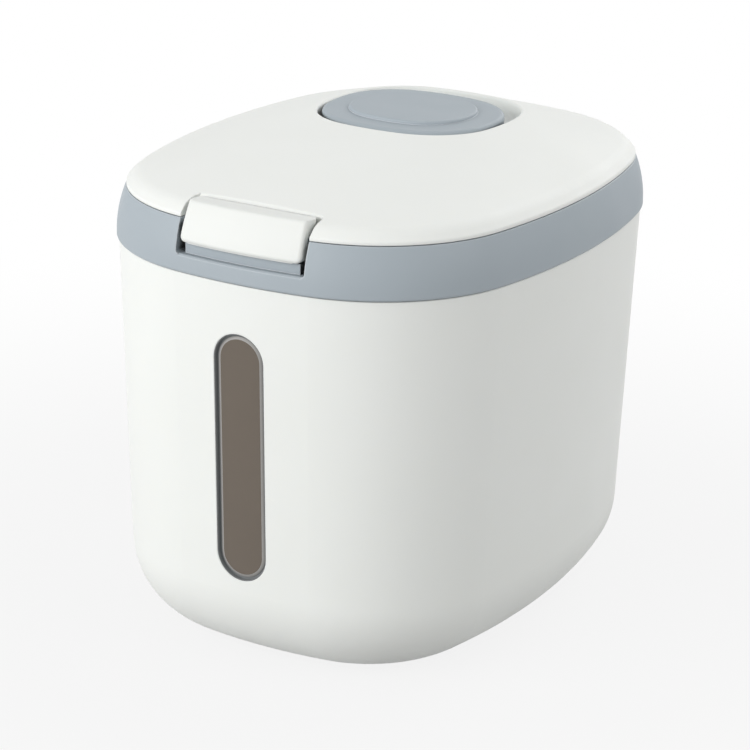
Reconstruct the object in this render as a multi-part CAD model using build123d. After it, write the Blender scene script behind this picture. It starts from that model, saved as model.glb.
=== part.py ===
from build123d import *
import math
import os

os.makedirs("parts", exist_ok=True)

# Rice bucket with a hinged lid, front latch and lift-off compartment cap.
# Frame: origin on the floor under the middle of the bucket, +Z up, latch at -Y, hinge at +Y.
# All sizes are millimetres.

# Plan outline of the bucket at its widest level: shallow bows joined by corner arcs
half_width = 98.5
half_depth = 121.5
front_bow = 218.0
side_bow = 300.8
corner_round = 71.9

# Bucket shell
bucket_height = 174.0
wall = 2.2
wall_taper = 0.035
floor_thick = 3.0
shoulder_round = 0.6
foot_round = 37.6
neck_inset = 8.6

# Window in the front wall
window_half_width = 12.0
window_bottom = 42.6
window_top = 152.8
window_gap = 0.35
pane_recess = 0.35
pane_flange = 3.0
pane_flange_thick = 1.4
pane_bevel = 1.5
pane_bevel_depth = 0.7

# Collar on the bucket's rim
collar_height = 21.7
collar_gap = 0.3
collar_overhang = 1.0
collar_lean = 4.1
collar_straight = 1.7
collar_skin = 2.0
collar_foot_round = 0.9
flange_thick = 2.2
lip_thick = 1.8
lip_depth = 12.0
fit_gap = 0.3

# Notch in the collar with the keeper that the latch snaps on
notch_half_width = 30.6
notch_height = 14.0
notch_web = 1.7
notch_corner = 1.2
notch_depth = 8.2
notch_bevel = 0.6
bar_gap = 3.2
bar_height = 4.5
bar_inset = 3.4
keeper_half_width = 26.0
keeper_wall_inset = 6.5
keeper_nose = 2.3
keeper_rise = 7.2

# Lid
lid_gap = 0.4
lid_lip_inset = 0.2
lid_lip_height = 1.4
lid_shoulder_height = 4.1
lid_shoulder_lean = 4.3
lid_shoulder_round = 10.0
lid_lip_round = 1.0
dome_rise = 13.3
dome_power = 0.92
dome_tilt = 1.2
lid_skin = 2.2
lid_web_thick = 1.4
lid_web_width = 11.35

# Oval recess in the lid, open behind the cap for the fingers
recess_half_width = 41.6
recess_half_depth = 42.9
recess_front_bow = 101.1
recess_side_bow = 104.3
recess_corner = 31.6
recess_y = 27.9
recess_depth = 7.5
recess_draft = 1.2
recess_floor_round = 2.5
recess_floor_thick = 2.0
recess_land = 1.1
recess_rim_round = 1.0

# Cap over the compartment
cap_half_width = 39.4
cap_half_depth = 34.65
cap_front_bow = 74.3
cap_side_bow = 72.0
cap_corner = 29.6
cap_y = 22.2
cap_stand = 1.2
cap_edge_round = 1.9
cap_wall = 1.8
step_half_width = 28.3
step_half_depth = 24.3
step_front_bow = 53.4
step_side_bow = 52.1
step_corner = 22.2
step_height = 1.6
step_round = 1.1

# Compartment tray under the cap
tray_half_width = 26.6
tray_half_depth = 22.6
tray_bow = 46.0
tray_corner = 18.0
tray_wall = 1.4
tray_flange = 2.8
tray_height = 17.5
tray_slot_count = 7
tray_slot_width = 2.2
tray_slot_pitch = 5.6
tray_slot_length = 27.0

# Liner and gasket under the lid
liner_thick = 1.5
plug_gap = 0.5
plug_thick = 1.8
plug_depth = 9.4
groove_depth = 1.0
groove_height = 3.2
groove_rise = 3.0
seal_stand = 0.15
seal_gap_cap = 0.3
cap_plug_thick = 1.6
cap_plug_reach = 4.5
cap_skirt_gap = 1.6
cap_groove_rise = 0.8
cap_groove_height = 2.2
cap_seat_width = 1.2

# Latch lever and its pin
latch_gap_low = 1.7
latch_gap_high = 2.5
latch_lift = 4.9
latch_top_inset = 6.9
latch_thick = 1.5
latch_proud = 1.0
latch_heel_inset = 17.2
latch_heel_drop = 0.6
latch_heel_corner = 2.2
latch_heel_thick = 0.7
latch_cheek_depth_low = 5.0
latch_cheek_depth_high = 4.0
latch_pivot_inset = 12.6
latch_pivot_rise = 2.2
latch_pin_radius = 0.9
latch_boss_radius = 2.0
latch_boss_width = 2.4
latch_ear_width = 3.4
latch_ear_radius = 2.0
hook_gap = 0.15
latch_edge_round = 1.6
latch_foot_corner = 2.6
latch_rise = 7.2
lid_notch_corner = 3.0
lid_notch_wall = 2.0
lid_notch_clearance = 0.3
lid_notch_bevel = 0.8
running_gap = 0.05
press_gap = 0.02
side_gap = 0.4

# Rear hinge
hinge_offset = 1.6
hinge_drop = 3.0
hinge_radius = 3.0
hinge_pin_radius = 1.25
arm_clearance = 1.2
arm_thick = 1.6
hinge_half_length = 26.3
hinge_ear_width = 6.0

# Levels worked out from the heights above
shoulder_z = bucket_height
collar_z = shoulder_z + collar_gap
seat_z = collar_z + collar_height
rim_z = seat_z - flange_thick
notch_z = seat_z - notch_height
lid_z = seat_z + lid_gap
lid_web_z = lid_z + lid_web_thick
crease_z = lid_z + lid_lip_height + lid_shoulder_height
recess_z = crease_z + dome_rise
recess_floor_z = recess_z - recess_depth
cap_edge_z = recess_z + cap_stand
cap_top_z = cap_edge_z + step_height
latch_low_z = notch_z + latch_lift
latch_high_z = lid_z + latch_rise
latch_pivot_z = lid_web_z + latch_pivot_rise

# Insets from the plan outline, from the outside in
lip_inset = neck_inset + wall + fit_gap
mouth_inset = lip_inset + lip_thick
plug_inset = mouth_inset + plug_gap
band_inset = collar_lean + lid_lip_inset
crease_inset = band_inset + lid_shoulder_lean
web_inset = band_inset + lid_web_width
keeper_nose_inset = keeper_wall_inset - keeper_nose

# Stations along Y of the latch's pin and heel, and room kept around shapes turned with the front bow
latch_pivot_y = latch_pivot_inset - half_depth
latch_heel_y = latch_heel_inset - half_depth
lid_notch_half_width = notch_half_width
latch_half_width_low = notch_half_width - latch_gap_low
latch_half_width_high = notch_half_width - latch_gap_high
bar_half_width = notch_half_width - bar_gap
turn_room = 40.0
overshoot = 5.0

bow_centre_y = front_bow - half_depth


def arc_wire(half_w, half_d, bow, side, corner, z, inset=0.0, mid_y=0.0):
    """Closed wire of eight tangent arcs, moved inwards by inset and centred on (0, mid_y)."""
    bow_y = bow - half_d
    side_x = half_w - side
    to_bow = bow - corner
    to_side = side - corner
    gap = math.hypot(side_x, bow_y)
    along = (to_bow**2 - to_side**2 + gap**2) / (2 * gap)
    off = math.sqrt(to_bow**2 - along**2)
    corner_x = (side_x * along + bow_y * off) / gap
    corner_y = bow_y + (side_x * off - bow_y * along) / gap
    bow_angle = math.atan2(corner_y - bow_y, corner_x)
    side_angle = math.atan2(corner_y, corner_x - side_x)
    radius = corner - inset

    def on_corner(angle, flip_x, flip_y):
        x = corner_x + radius * math.cos(angle)
        y = corner_y + radius * math.sin(angle)
        return (flip_x * x, mid_y + flip_y * y, z)

    middle = (bow_angle + side_angle) / 2
    edges = []
    for flip_y in (1, -1):
        front = (0, mid_y - flip_y * (half_d - inset), z)
        left = on_corner(bow_angle, -1, flip_y)
        right = on_corner(bow_angle, 1, flip_y)
        edges.append(Edge.make_three_point_arc(left, front, right))
        for flip_x in (-1, 1):
            start = on_corner(bow_angle, flip_x, flip_y)
            via = on_corner(middle, flip_x, flip_y)
            end = on_corner(side_angle, flip_x, flip_y)
            edges.append(Edge.make_three_point_arc(start, via, end))
    for flip_x in (-1, 1):
        low = on_corner(side_angle, flip_x, 1)
        side_point = (flip_x * (half_w - inset), mid_y, z)
        high = on_corner(side_angle, flip_x, -1)
        edges.append(Edge.make_three_point_arc(low, side_point, high))
    return Wire(edges)


def plan(inset, z):
    return arc_wire(half_width, half_depth, front_bow, side_bow, corner_round, z, inset)


def recess_plan(inset, z):
    return arc_wire(recess_half_width, recess_half_depth, recess_front_bow, recess_side_bow,
                    recess_corner, z, inset, recess_y)


def cap_plan(inset, z):
    return arc_wire(cap_half_width, cap_half_depth, cap_front_bow, cap_side_bow,
                    cap_corner, z, inset, cap_y)


def step_plan(inset, z):
    return arc_wire(step_half_width, step_half_depth, step_front_bow, step_side_bow,
                    step_corner, z, inset, cap_y)


def tray_plan(inset, z):
    return arc_wire(tray_half_width, tray_half_depth, tray_bow, tray_bow + 4.0,
                    tray_corner, z, inset, cap_y)


def straight(outline, inset, low, high):
    """Upright solid between two levels inside one outline."""
    return extrude(Face(outline(inset, low)), amount=high - low, dir=(0, 0, 1))


def ring(outline, outer_inset, inner_inset, low, high):
    return straight(outline, outer_inset, low, high) - straight(outline, inner_inset, low, high)


def front_sweep(profile, reach):
    """Turn a closed (inset, z) profile about the upright axis of the front bow, out to x = reach."""
    edges = []
    for index, start in enumerate(profile):
        end = profile[(index + 1) % len(profile)]
        edges.append(Edge.make_line((0, start[0] - half_depth, start[1]), (0, end[0] - half_depth, end[1])))
    return turn_profile(Face(Wire(edges)), reach)


def turn_profile(face, reach):
    least_radius = front_bow - turn_room
    angle = math.degrees(math.asin((reach + overshoot) / least_radius))
    axis = Axis((0, bow_centre_y, 0), (0, 0, 1))
    turned = revolve(face.rotate(axis, -angle), axis, 2 * angle)
    strip = block(-reach, reach, -half_depth - turn_room, -half_depth + turn_room, 0, cap_top_z + overshoot)
    return turned & strip


def block(x_low, x_high, y_low, y_high, z_low, z_high):
    size = Box(x_high - x_low, y_high - y_low, z_high - z_low)
    return Pos((x_low + x_high) / 2, (y_low + y_high) / 2, (z_low + z_high) / 2) * size


def side_profile(points, x_low, x_high):
    """Extrude a (y, z) polygon along X between two stations."""
    edges = []
    for index, start in enumerate(points):
        end = points[(index + 1) % len(points)]
        edges.append(Edge.make_line((x_low, *start), (x_low, *end)))
    return extrude(Face(Wire(edges)), amount=x_high - x_low, dir=(1, 0, 0))


def rod(radius, y, z, x_low, x_high):
    middle = (x_low + x_high) / 2
    return Pos(middle, y, z) * Rot(0, 90, 0) * Cylinder(radius, x_high - x_low)


def window_slot(half_w, low, high, y_low, y_high):
    """Round-ended upright slot through the front wall."""
    outline = Plane.XZ * Pos(0, (low + high) / 2) * SlotOverall(high - low, 2 * half_w, rotation=90)
    return Pos(0, y_high, 0) * extrude(outline, amount=y_high - y_low)


def bow_drop(x):
    """How far the front bow falls back at a distance x from the middle."""
    return front_bow - math.sqrt(front_bow**2 - x**2)


def body_inset(z):
    return collar_overhang + wall_taper * (shoulder_z - z)


def collar_inset(z):
    """Inset of the collar's outer face: upright at first, then leaning in on an arc."""
    tangent_z = collar_z + collar_straight
    rise = seat_z - tangent_z
    arc = (rise**2 + collar_lean**2) / (2 * collar_lean)
    above = max(0.0, z - tangent_z)
    return arc - math.sqrt(arc**2 - above**2)


def edges_at(shape, z, tolerance=0.02):
    found = ShapeList()
    for edge in shape.edges():
        box = edge.bounding_box()
        if abs(box.min.Z - z) < tolerance and abs(box.max.Z - z) < tolerance:
            found.append(edge)
    return found


def edges_on_outline(shape, outline, z):
    """Edges at one level that follow a given outline."""
    found = []
    for edge in edges_at(shape, z):
        if outline.distance_to(Vertex(*tuple(edge.position_at(0.5)))) < 0.05:
            found.append(edge)
    return found


# Bucket shell: tapered white body with a rounded foot, a shoulder and a stepped-in neck
def make_bucket_shell():
    outer = Solid.make_loft([plan(body_inset(0), 0), plan(body_inset(shoulder_z), shoulder_z)], True)
    outer = fillet(edges_at(outer, 0), foot_round)
    inner_low = floor_thick
    inner_high = shoulder_z - wall
    low_wire = plan(body_inset(inner_low) + wall, inner_low)
    high_wire = plan(body_inset(inner_high) + wall, inner_high)
    inner = Solid.make_loft([low_wire, high_wire], True)
    inner = fillet(edges_at(inner, inner_low), foot_round - wall)
    neck = straight(plan, neck_inset, shoulder_z - wall / 2, rim_z)
    bore = straight(plan, neck_inset + wall, inner_high - 0.5, rim_z)
    window = window_slot(window_half_width, window_bottom, window_top, -half_depth - 5, -half_depth + 20)
    shell = outer + neck - inner - bore - window
    return fillet(edges_on_outline(shell, plan(body_inset(shoulder_z), shoulder_z), shoulder_z), shoulder_round)


# Window pane: smoked plastic with a bevelled edge, clipped in from inside by its flange
def make_window_pane():
    low = window_bottom - 8
    high = window_top + 8

    def slab(near, far):
        profile = [(body_inset(low) + near, low), (body_inset(high) + near, high),
                   (body_inset(high) + far, high), (body_inset(low) + far, low)]
        return front_sweep(profile, window_half_width + 8)

    half_w = window_half_width - window_gap
    low_z = window_bottom + window_gap
    high_z = window_top - window_gap
    y_low = -half_depth - 5
    y_high = -half_depth + 20
    pane = slab(pane_recess, wall) & window_slot(half_w, low_z, high_z, y_low, y_high)
    front = pane.faces().sort_by(SortBy.AREA)[-2:].sort_by(Axis.Y)[0]
    pane = chamfer(front.edges(), pane_bevel_depth, pane_bevel)
    flange_slot = window_slot(window_half_width + pane_flange, window_bottom - pane_flange,
                              window_top + pane_flange, y_low, y_high)
    flange = slab(wall, wall + pane_flange_thick) & flange_slot
    return pane + flange


# Collar: grey ring over the bucket's rim, with the latch notch and the two hinge ears
def make_collar_ring():
    levels = [collar_z, collar_z + collar_straight]
    arc_steps = 4
    for step in range(1, arc_steps + 1):
        levels.append(levels[1] + (seat_z - levels[1]) * step / arc_steps)
    outer = Solid.make_loft([plan(collar_inset(z), z) for z in levels], False)
    outer_full = outer
    inner_levels = [z for z in levels if z < rim_z - 1] + [rim_z]
    hollow = Solid.make_loft([plan(collar_inset(z) + collar_skin, z) for z in inner_levels], False)
    outer = fillet(edges_at(outer, collar_z), collar_foot_round)
    lip = ring(plan, lip_inset, mouth_inset, seat_z - lip_depth, seat_z)
    collar = outer - hollow - straight(plan, mouth_inset, collar_z - 1, seat_z + 1) + lip

    # keeper block, then the notch and its two end pockets
    web_half_width = notch_half_width + notch_web
    block_profile = [(0.0, notch_z - notch_web), (notch_depth, notch_z - notch_web),
                     (notch_depth, seat_z - 1), (0.0, seat_z - 1)]
    keeper_block = front_sweep(block_profile, web_half_width) & outer_full
    collar = collar + keeper_block
    top = seat_z + 3
    notch_profile = [(-4.0, notch_z), (keeper_wall_inset, notch_z), (keeper_wall_inset, top), (-4.0, top)]
    notch = front_sweep(notch_profile, notch_half_width)
    pocket_profile = [(2.0, notch_z), (notch_depth, notch_z), (notch_depth, top), (2.0, top)]
    pocket = front_sweep(pocket_profile, notch_half_width)
    pocket = pocket - block(-keeper_half_width, keeper_half_width, -half_depth - overshoot,
                            -half_depth + turn_room, notch_z - overshoot, top + overshoot)
    cutter = notch + pocket
    corner_edges = []
    for edge in cutter.edges().filter_by(GeomType.LINE):
        middle = edge.position_at(0.5)
        if abs(middle.Z - notch_z) < 0.01 and abs(abs(middle.X) - notch_half_width) < 0.01:
            corner_edges.append(edge)
    cutter = fillet(corner_edges, notch_corner)
    collar = collar - cutter

    # bevel along the notch's front lower edge
    bevel_inset = collar_inset(notch_z) + notch_bevel
    drop = bevel_inset + 4.0
    bevel_profile = [(bevel_inset, notch_z + 0.2), (bevel_inset, notch_z), (-4.0, notch_z - drop), (-4.0, notch_z + 0.2)]
    collar = collar - front_sweep(bevel_profile, notch_half_width - notch_corner)

    bar_top = notch_z + bar_height
    bar_back = keeper_wall_inset + 0.4
    bar = front_sweep([(bar_inset, notch_z - 0.2), (bar_back, notch_z - 0.2),
                       (bar_back, bar_top), (bar_inset, bar_top)], bar_half_width)
    nose_z = notch_z + keeper_rise
    nose = keeper_nose_inset
    rib = front_sweep([(keeper_wall_inset + 0.2, nose_z - 0.4), (nose, nose_z), (nose, nose_z + 0.8),
                       (keeper_wall_inset + 0.2, nose_z + 2.6)], keeper_half_width)
    collar = collar + bar + rib

    # hinge ears on the back
    ear_low = hinge_half_length + fit_gap
    ear_high = ear_low + hinge_ear_width
    foot_z = seat_z - 13.0
    foot_y = half_depth - bow_drop(ear_high)
    ear_points = [(hinge_y + hinge_radius, hinge_z), (foot_y - 0.2, foot_z), (foot_y - 1.4, foot_z),
                  (foot_y - collar_lean - 0.4, seat_z), (hinge_y - hinge_radius, hinge_z)]
    for side in (-1, 1):
        x_low = min(side * ear_low, side * ear_high)
        x_high = max(side * ear_low, side * ear_high)
        ear = side_profile(ear_points, x_low, x_high) + rod(hinge_radius, hinge_y, hinge_z, x_low, x_high)
        hole = rod(hinge_pin_radius + press_gap, hinge_y, hinge_z, x_low - 1, x_high + 1)
        collar = collar + ear - hole
    return collar


hinge_y = half_depth + hinge_offset
hinge_z = seat_z - hinge_drop


# Hinge pin: steel rod held by the collar's ears, the lid turns on it
def make_hinge_pin():
    reach = hinge_half_length + fit_gap + hinge_ear_width - 0.5
    pin = rod(hinge_pin_radius, hinge_y, hinge_z, -reach, reach)
    return chamfer(pin.edges().filter_by(GeomType.CIRCLE), 0.25)


def dome_wires(inset, drop):
    """Sections of the lid's crown, from the crease up to the rim of the recess, which tips backwards."""
    low = (half_width - crease_inset, half_depth - crease_inset, front_bow - crease_inset,
           side_bow - crease_inset, corner_round - crease_inset, 0.0)
    high = (recess_half_width + recess_land, recess_half_depth + recess_land,
            recess_front_bow + recess_land, recess_side_bow + recess_land,
            recess_corner + recess_land, recess_y)
    wires = []
    for share in (0.0, 0.12, 0.35, 0.67, 1.0):
        size = [a + (b - a) * share for a, b in zip(low, high)]
        z = crease_z + dome_rise * share**dome_power - drop
        wire = arc_wire(*size[:5], z, inset * (1 - share), size[5])
        wires.append(wire.rotate(Axis((0, size[5], z), (1, 0, 0)), -dome_tilt * share))
    return wires


def rim_edges(shell):
    """The edge where the recess breaks through the tipped top of the crown."""
    outline = recess_plan(0, recess_z)
    found = []
    for edge in shell.edges():
        middle = edge.position_at(0.5)
        tipped_z = recess_z - math.tan(math.radians(dome_tilt)) * (middle.Y - recess_y)
        level = Vertex(middle.X, middle.Y, recess_z)
        if abs(middle.Z - tipped_z) < 0.1 and outline.distance_to(level) < 0.4:
            found.append(edge)
    return found


# Lid shell: white crown with the cap recess, the latch pocket and the hinge knuckle
def make_lid_shell():
    lip_top = lid_z + lid_lip_height
    band = Solid.make_loft([plan(band_inset, lid_z), plan(band_inset, lip_top), plan(crease_inset, crease_z)], True)
    crown = Solid.make_loft(dome_wires(0.0, 0.0), False)
    outer = band + crown
    outer = fillet(edges_at(outer, crease_z), lid_shoulder_round)
    outer = fillet(edges_at(outer, lip_top), lid_lip_round)
    hollow_top_z = crease_z - lid_skin
    hollow_band = Solid.make_loft([plan(band_inset + lid_skin, lid_web_z),
                                   plan(crease_inset + lid_skin, hollow_top_z)], True)
    hollow_crown = Solid.make_loft(dome_wires(lid_skin, lid_skin), False)
    opening = straight(plan, web_inset, lid_z - 1, lid_web_z + 0.5)
    shell = outer - hollow_band - hollow_crown - opening

    # walls of the recess and of the latch pocket, inside the crown
    floor_low = recess_floor_z - recess_floor_thick
    recess_wall = straight(recess_plan, -lid_skin, floor_low, recess_z + 2) & outer
    pocket_half = lid_notch_half_width + lid_notch_wall
    pocket_back = lid_notch_y + lid_notch_wall
    pocket_wall = block(-pocket_half, pocket_half, -half_depth, pocket_back, lid_z, crease_z + 6) & outer
    shell = shell + recess_wall + pocket_wall

    # cap recess with a rounded floor, and the opening for the tray
    above = 3.0
    spread = recess_draft * above / recess_depth
    recess = Solid.make_loft([recess_plan(recess_draft, recess_floor_z),
                              recess_plan(-spread, recess_z + above)], True)
    recess = fillet(edges_at(recess, recess_floor_z), recess_floor_round)
    tray_hole = straight(tray_plan, -fit_gap, floor_low - 1, recess_floor_z + 1)
    shell = shell - recess - tray_hole
    shell = fillet(rim_edges(shell), recess_rim_round)

    # latch pocket: open to the front, floor set back behind the lever's cheeks
    pocket = block(-lid_notch_half_width, lid_notch_half_width, -half_depth - 5, lid_notch_y,
                   lid_web_z, crease_z + 12)
    upright = []
    for edge in pocket.edges().filter_by(Axis.Z):
        if edge.position_at(0.5).Y > -half_depth:
            upright.append(edge)
    pocket = fillet(upright, lid_notch_corner)
    shell = shell - pocket

    # bevel along the pocket's back edge, where the crown meets the lever's heel
    rim_y = recess_y - recess_half_depth - recess_land
    share = (lid_notch_y + half_depth - crease_inset) / (rim_y + half_depth - crease_inset)
    crown_z = crease_z + dome_rise * share**dome_power
    bevel_half = lid_notch_half_width - lid_notch_corner / 3
    bevel = side_profile([(lid_notch_y - 1, crown_z - lid_notch_bevel - 1), (lid_notch_y - 1, crown_z + 2),
                          (lid_notch_y + lid_notch_bevel + 2, crown_z + 2)], -bevel_half, bevel_half)
    shell = shell - bevel
    shell = shell - block(-lid_notch_half_width, lid_notch_half_width, -half_depth - 5, lid_notch_floor_y,
                          lid_z - 2, crease_z)
    slot_low = latch_cheek_inner - side_gap
    slot_back = latch_pivot_y + latch_boss_radius
    for side in (-1, 1):
        x_low = min(side * slot_low, side * lid_notch_half_width)
        x_high = max(side * slot_low, side * lid_notch_half_width)
        shell = shell - block(x_low, x_high, -half_depth - 5, slot_back, lid_z - 2, crease_z)

    # ears that carry the latch pin
    ear_high = latch_ear_outer
    ear_low = ear_high - latch_ear_width
    ear_points = [(latch_pivot_y - latch_ear_radius, latch_pivot_z), (latch_pivot_y, latch_pivot_z),
                  (latch_pivot_y + latch_ear_radius, latch_pivot_z),
                  (latch_pivot_y + latch_ear_radius + 1.5, lid_web_z - 0.3),
                  (lid_notch_floor_y + 0.2, lid_web_z - 0.3)]
    for side in (-1, 1):
        x_low = min(side * ear_low, side * ear_high)
        x_high = max(side * ear_low, side * ear_high)
        ear = side_profile(ear_points, x_low, x_high)
        ear = ear + rod(latch_ear_radius, latch_pivot_y, latch_pivot_z, x_low, x_high)
        hole = rod(latch_pin_radius + press_gap, latch_pivot_y, latch_pivot_z, x_low - 1, x_high + 1)
        shell = shell + ear - hole

    # hinge knuckle on the back edge
    inner_y = half_depth - band_inset - lid_skin - 0.8
    arm_low = lid_z + 0.8
    arm_high = crease_z - 1.5
    over_y = half_depth - collar_inset(hinge_z) + arm_clearance
    arm = side_profile([(inner_y, arm_low), (over_y - collar_inset(seat_z) / 2, arm_low), (over_y, hinge_z),
                        (hinge_y + hinge_radius / 2, hinge_z + hinge_radius / 2), (over_y, arm_low + arm_thick),
                        (inner_y, arm_high)], -hinge_half_length, hinge_half_length)
    barrel = rod(hinge_radius, hinge_y, hinge_z, -hinge_half_length, hinge_half_length)
    hole = rod(hinge_pin_radius + running_gap, hinge_y, hinge_z, -hinge_half_length - 1, hinge_half_length + 1)
    return shell + arm + barrel - hole


heel_reach = math.hypot(latch_heel_y - latch_pivot_y, latch_high_z - latch_pivot_z)
lid_notch_y = latch_pivot_y + heel_reach + lid_notch_clearance
lid_notch_floor_y = latch_pivot_y - latch_ear_radius + 1.2


def latch_half_width(z):
    share = (z - latch_low_z) / (latch_high_z - latch_low_z)
    return latch_half_width_low + (latch_half_width_high - latch_half_width_low) * share


latch_cheek_inner = latch_half_width(latch_pivot_z) - latch_thick
latch_ear_outer = latch_cheek_inner - latch_boss_width - side_gap
latch_pin_reach = latch_cheek_inner + 0.4


# Latch lever: white cap-shaped lever that hangs from its pin in the lid, hook at the lower edge
def make_latch_lever():
    low_inset = collar_inset(latch_low_z) - latch_proud
    seat_inset = collar_lean - latch_proud
    front_low = (0, low_inset - half_depth, latch_low_z)
    front_mid = (0, seat_inset - half_depth, seat_z)
    front_high = (0, latch_top_inset - half_depth, latch_high_z)
    behind_high = (0, latch_heel_y + 2 * overshoot, latch_high_z)
    behind_low = (0, latch_heel_y + 2 * overshoot, latch_low_z)
    front_edges = [Edge.make_three_point_arc(front_low, front_mid, front_high)]
    front_edges.append(Edge.make_line(front_high, behind_high))
    front_edges.append(Edge.make_line(behind_high, behind_low))
    front_edges.append(Edge.make_line(behind_low, front_low))
    front = turn_profile(Face(Wire(front_edges)), latch_half_width_low + 1)

    # outline of the cheeks, straight across the lever
    cheek_front = bow_drop(latch_half_width_high)
    heel_z = latch_high_z - latch_heel_drop
    top_slope = latch_heel_drop / (latch_heel_y - front_high[1])
    ahead_y = -half_depth - overshoot
    cheeks = [(ahead_y, latch_low_z), (ahead_y, heel_z + top_slope * (latch_heel_y - ahead_y)),
              (latch_heel_y, heel_z), (latch_heel_y, heel_z - latch_heel_thick),
              (latch_pivot_y + latch_boss_radius + 0.2, latch_pivot_z),
              (latch_pivot_y - 0.6 * latch_boss_radius, latch_pivot_z - 0.8 * latch_boss_radius),
              (front_mid[1] + cheek_front + latch_cheek_depth_high, seat_z),
              (front_low[1] + cheek_front + latch_cheek_depth_low, latch_low_z)]
    reach = latch_half_width_low + 1
    trim = side_trim(0.0, latch_low_z, latch_high_z + overshoot)
    trim = fillet(edges_at(trim, latch_low_z).filter_by(Axis.Y), latch_foot_corner)
    body = front & side_profile(cheeks, -reach, reach) & trim
    for side in (-1, 1):
        body = body - heel_corner(side)
    shell_edges = []
    for edge in body.edges():
        middle = edge.position_at(0.5)
        if front.faces().sort_by(Axis.Y)[0].distance_to(Vertex(*tuple(middle))) < 0.01:
            shell_edges.append(edge)
    body = fillet(shell_edges, latch_edge_round)

    # hollow from behind: front wall, top wall and two cheeks stay
    inner_low_z = latch_low_z - 1
    inner_low = (0, collar_inset(inner_low_z) - latch_proud + latch_thick - half_depth, inner_low_z)
    inner_mid = (0, seat_inset + latch_thick - half_depth, seat_z)
    inner_high = (0, latch_top_inset + latch_thick - half_depth, latch_high_z - latch_top_wall)
    back_high = (0, latch_heel_y + 15, latch_high_z - latch_top_wall)
    back_low = (0, latch_heel_y + 15, inner_low_z)
    hollow_edges = [Edge.make_three_point_arc(inner_low, inner_mid, inner_high)]
    hollow_edges.append(Edge.make_line(inner_high, back_high))
    hollow_edges.append(Edge.make_line(back_high, back_low))
    hollow_edges.append(Edge.make_line(back_low, inner_low))
    hollow = turn_profile(Face(Wire(hollow_edges)), latch_half_width_low + 1)
    hollow = hollow & side_trim(latch_thick, latch_low_z - 2, latch_high_z + 1)
    lever = body - hollow

    # hook along the lower edge, just in front of the keeper's nose
    nose = keeper_nose_inset - hook_gap
    root = low_inset + latch_thick - 0.5
    hook = front_sweep([(root, latch_low_z), (nose - 0.3, latch_low_z), (nose, latch_low_z + 0.5),
                        (nose, latch_low_z + 1.2), (root + 0.9, latch_low_z + 2.3)], keeper_half_width - 1)
    lever = lever + hook

    # bosses inside the cheeks, bored for the pin
    for side in (-1, 1):
        inner = side * (latch_cheek_inner - latch_boss_width)
        outer = side * (latch_cheek_inner + 0.8)
        lever = lever + rod(latch_boss_radius, latch_pivot_y, latch_pivot_z, min(inner, outer), max(inner, outer))
    bore_reach = latch_pin_reach + 0.1
    bore = rod(latch_pin_radius + running_gap, latch_pivot_y, latch_pivot_z, -bore_reach, bore_reach)
    return lever - bore


latch_top_wall = latch_high_z - latch_pivot_z - latch_ear_radius - lid_notch_clearance


def side_trim(inset, low, high):
    """Upright wedge that gives the lever its slightly narrower top."""
    wide_low = latch_half_width(low) - inset
    wide_high = latch_half_width(high) - inset
    y_low = -half_depth - 5
    edges = []
    corners = [(-wide_low, y_low, low), (wide_low, y_low, low), (wide_high, y_low, high), (-wide_high, y_low, high)]
    for index, start in enumerate(corners):
        edges.append(Edge.make_line(start, corners[(index + 1) % 4]))
    return extrude(Face(Wire(edges)), amount=40, dir=(0, 1, 0))


def heel_corner(side):
    """What is taken off one back corner of the lever's top, so that it is round in plan."""
    edge_x = latch_half_width(latch_high_z - latch_heel_drop)
    arc_x = side * (edge_x - latch_heel_corner)
    arc_y = latch_heel_y - latch_heel_corner
    x_low = min(arc_x, side * (edge_x + overshoot))
    x_high = max(arc_x, side * (edge_x + overshoot))
    corner = block(x_low, x_high, arc_y, latch_heel_y + overshoot, latch_pivot_z, latch_high_z + overshoot)
    middle_z = (latch_pivot_z + latch_high_z) / 2
    return corner - Pos(arc_x, arc_y, middle_z) * Cylinder(latch_heel_corner, 4 * overshoot)


# Latch pin: thin steel rod through the lid's ears into the lever's bosses
def make_latch_pin():
    pin = rod(latch_pin_radius, latch_pivot_y, latch_pivot_z, -latch_pin_reach, latch_pin_reach)
    return chamfer(pin.edges().filter_by(GeomType.CIRCLE), 0.2)


# Lid liner: panel and plug ring that reach into the bucket's mouth
def make_lid_liner():
    low = lid_z - plug_depth
    plug = ring(plan, plug_inset, plug_inset + plug_thick, low, lid_z)
    panel = straight(plan, plug_inset + plug_thick - 0.2, lid_z - liner_thick, lid_z)
    groove_low = low + groove_rise
    groove = ring(plan, plug_inset - 1, plug_inset + groove_depth, groove_low, groove_low + groove_height)
    tray_hole = straight(tray_plan, -fit_gap, lid_z - liner_thick - 1, lid_z + 1)
    liner = plug + panel - groove - tray_hole
    return chamfer(edges_on_outline(liner, plan(plug_inset, low), low), 0.6)


# Lid gasket: silicone ring in the plug's groove
def make_lid_gasket():
    low = lid_z - plug_depth + groove_rise
    return ring(plan, plug_inset - seal_stand, plug_inset + groove_depth, low, low + groove_height)


# Compartment tray: slotted cup hung from the recess floor by its flange
def make_desiccant_tray():
    top = recess_floor_z + tray_wall
    low = top - tray_height
    cup = straight(tray_plan, 0, low, top) - straight(tray_plan, tray_wall, low + tray_wall, top)
    flange = ring(tray_plan, -tray_flange, 0, recess_floor_z, top)
    tray = cup + flange
    for index in range(tray_slot_count):
        x = (index - (tray_slot_count - 1) / 2) * tray_slot_pitch
        slot = SlotOverall(tray_slot_length, tray_slot_width, rotation=90)
        tray = tray - extrude(Pos(x, cap_y, low - 1) * slot, amount=tray_wall + 2)
    return tray


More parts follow.
